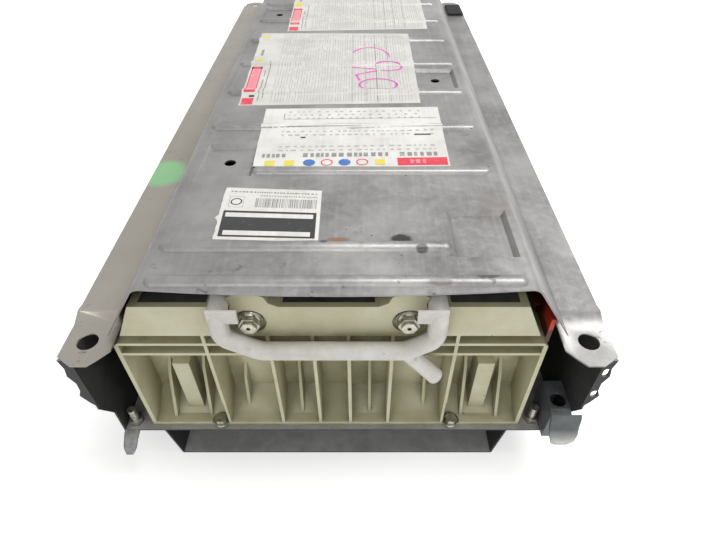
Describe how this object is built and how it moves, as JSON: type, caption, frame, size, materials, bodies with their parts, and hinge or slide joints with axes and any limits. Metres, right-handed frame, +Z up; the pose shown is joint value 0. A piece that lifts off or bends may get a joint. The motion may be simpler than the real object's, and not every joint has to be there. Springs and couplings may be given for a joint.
{
  "type": "hybrid vehicle battery module",
  "caption": "Long traction battery: prismatic cells clamped between ribbed end plates in a pressed steel case with a beaded, raised cover and bolt-down corners.",
  "frame": {"origin": "middle of the rectangle around the whole case, on the plane the cooling trough stands on", "axes": "+Z up out of the cover, Y along the case with the vent outlet end at -Y, X across it"},
  "size_m": [0.349, 0.7488, 0.1918],
  "materials": {
    "cover_steel": "dull zinc coated pressed steel with scuffs and stains",
    "case_steel": "dark coated pressed steel, dusty in the trough",
    "cream_plastic": "cream moulded plastic, soiled in the pockets",
    "cell_plastic": "black moulded cell case",
    "white_tube": "off-white soft vent tube",
    "zinc_hardware": "zinc plated fasteners and rods",
    "orange_plastic": "orange insulating moulding",
    "orange_cable": "orange insulated cable",
    "copper": "nickel washed copper links",
    "pedestal_steel": "grey coated pressed steel",
    "black_plastic": "black moulded housing",
    "black_foam": "closed cell foam"
  },
  "bodies": {
    "root": {"busbar_frame_left": "orange_plastic", "busbar_frame_right": "orange_plastic", "busbars_left": "copper", "busbars_right": "copper", "cell_block_01": "cell_plastic", "cell_block_02": "cell_plastic", "cell_block_03": "cell_plastic", "cell_block_04": "cell_plastic", "cell_block_05": "cell_plastic", "cell_block_06": "cell_plastic", "cell_block_07": "cell_plastic", "cell_block_08": "cell_plastic", "cell_block_09": "cell_plastic", "cell_block_10": "cell_plastic", "cell_block_11": "cell_plastic", "cell_block_12": "cell_plastic", "cell_block_13": "cell_plastic", "cell_block_14": "cell_plastic", "cell_block_15": "cell_plastic", "cell_block_16": "cell_plastic", "cell_block_17": "cell_plastic", "cell_block_18": "cell_plastic", "cell_block_19": "cell_plastic", "cell_block_20": "cell_plastic", "cell_block_21": "cell_plastic", "cell_block_22": "cell_plastic", "cell_block_23": "cell_plastic", "cell_block_24": "cell_plastic", "cell_block_25": "cell_plastic", "cell_block_26": "cell_plastic", "cell_block_27": "cell_plastic", "cell_block_28": "cell_plastic", "control_unit": "black_plastic", "corner_pedestal_front": "pedestal_steel", "corner_pedestal_rear": "pedestal_steel", "corner_studs": "zinc_hardware", "end_pads_front": "black_plastic", "end_pads_rear": "black_plastic", "end_plate_bolts": "zinc_hardware", "end_plate_front": "cream_plastic", "end_plate_rear": "cream_plastic", "equipment_tray": "case_steel", "foam_pad": "black_foam", "junction_block": "black_plastic", "lower_case": "case_steel", "power_lead_front": "orange_cable", "power_lead_rear": "orange_cable", "tie_rod_left": "zinc_hardware", "tie_rod_nuts": "zinc_hardware", "tie_rod_right": "zinc_hardware", "top_cover": "cover_steel", "vent_cross_tube": "white_tube", "vent_rail_left": "white_tube", "vent_rail_right": "white_tube"}
  },
  "joints": []
}
